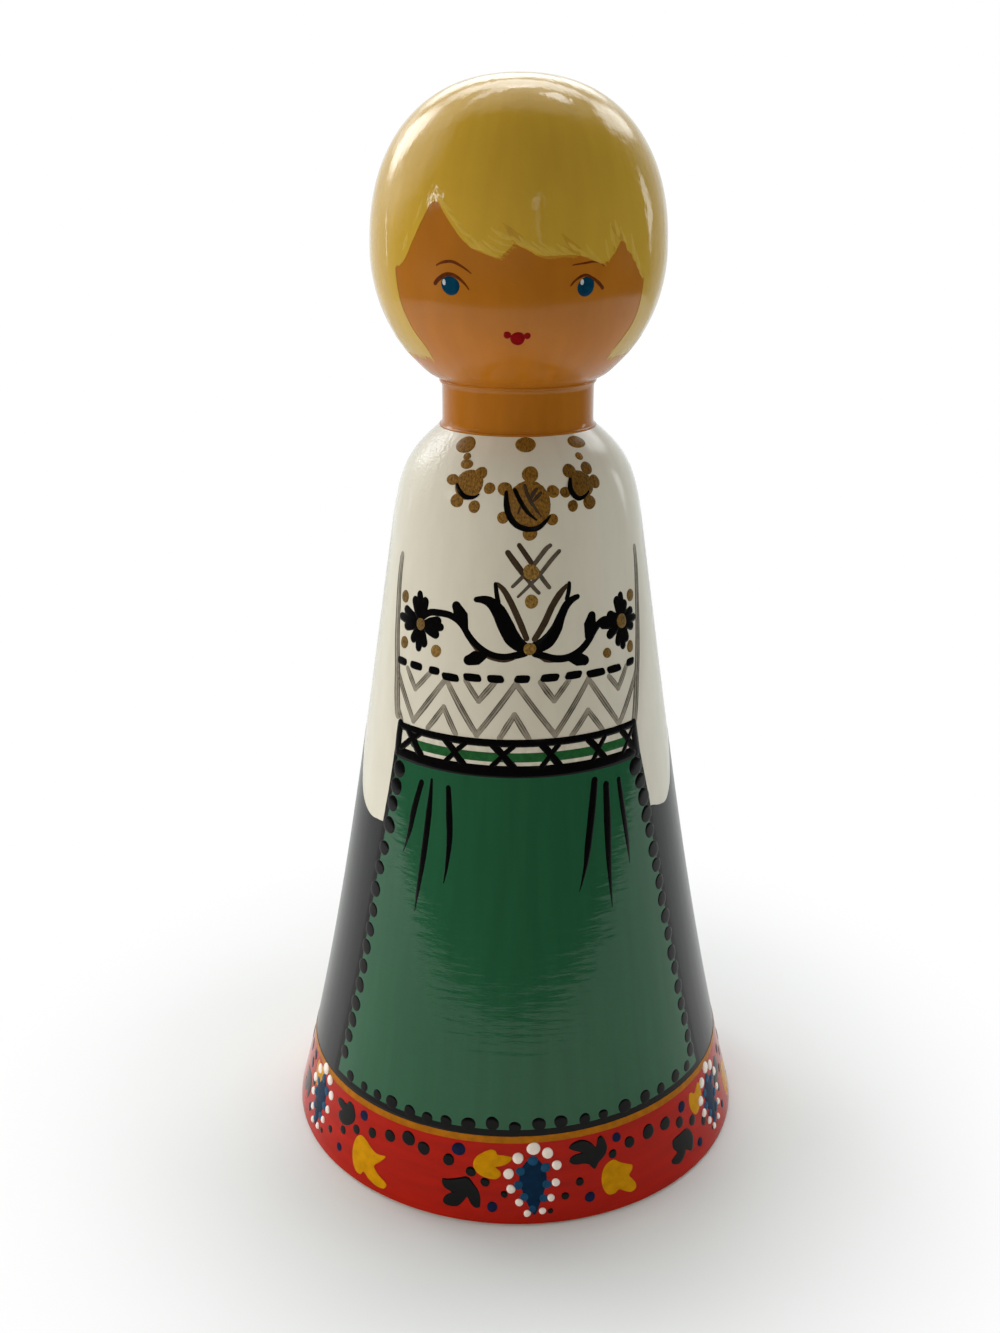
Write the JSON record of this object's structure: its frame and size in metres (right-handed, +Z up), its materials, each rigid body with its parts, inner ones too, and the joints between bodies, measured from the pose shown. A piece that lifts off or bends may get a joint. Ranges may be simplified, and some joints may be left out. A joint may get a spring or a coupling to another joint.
{
  "type": "turned wooden doll",
  "caption": "Free-standing turned wooden doll with a coned body, collar neck and ball head on a hidden dowel, lacquered in a folk costume; rests on a flat foot ring.",
  "frame": {"origin": "on the turning axis, at the plane of the foot ring that the doll stands on", "axes": "+Z up the turning axis towards the crown of the head; the painted face looks along -Y; +X is to the viewer's right"},
  "size_m": [0.1364, 0.1364, 0.3],
  "materials": {
    "body_lacquer": "painted and clear lacquered, glossy",
    "flesh_lacquer": "painted and clear lacquered, glossy",
    "hair_lacquer": "painted and clear lacquered, glossy",
    "bare_wood": "turned and unfinished"
  },
  "bodies": {
    "root": {"body": "body_lacquer", "neck": "flesh_lacquer", "head": "hair_lacquer", "neck_dowel": "bare_wood"}
  },
  "joints": []
}
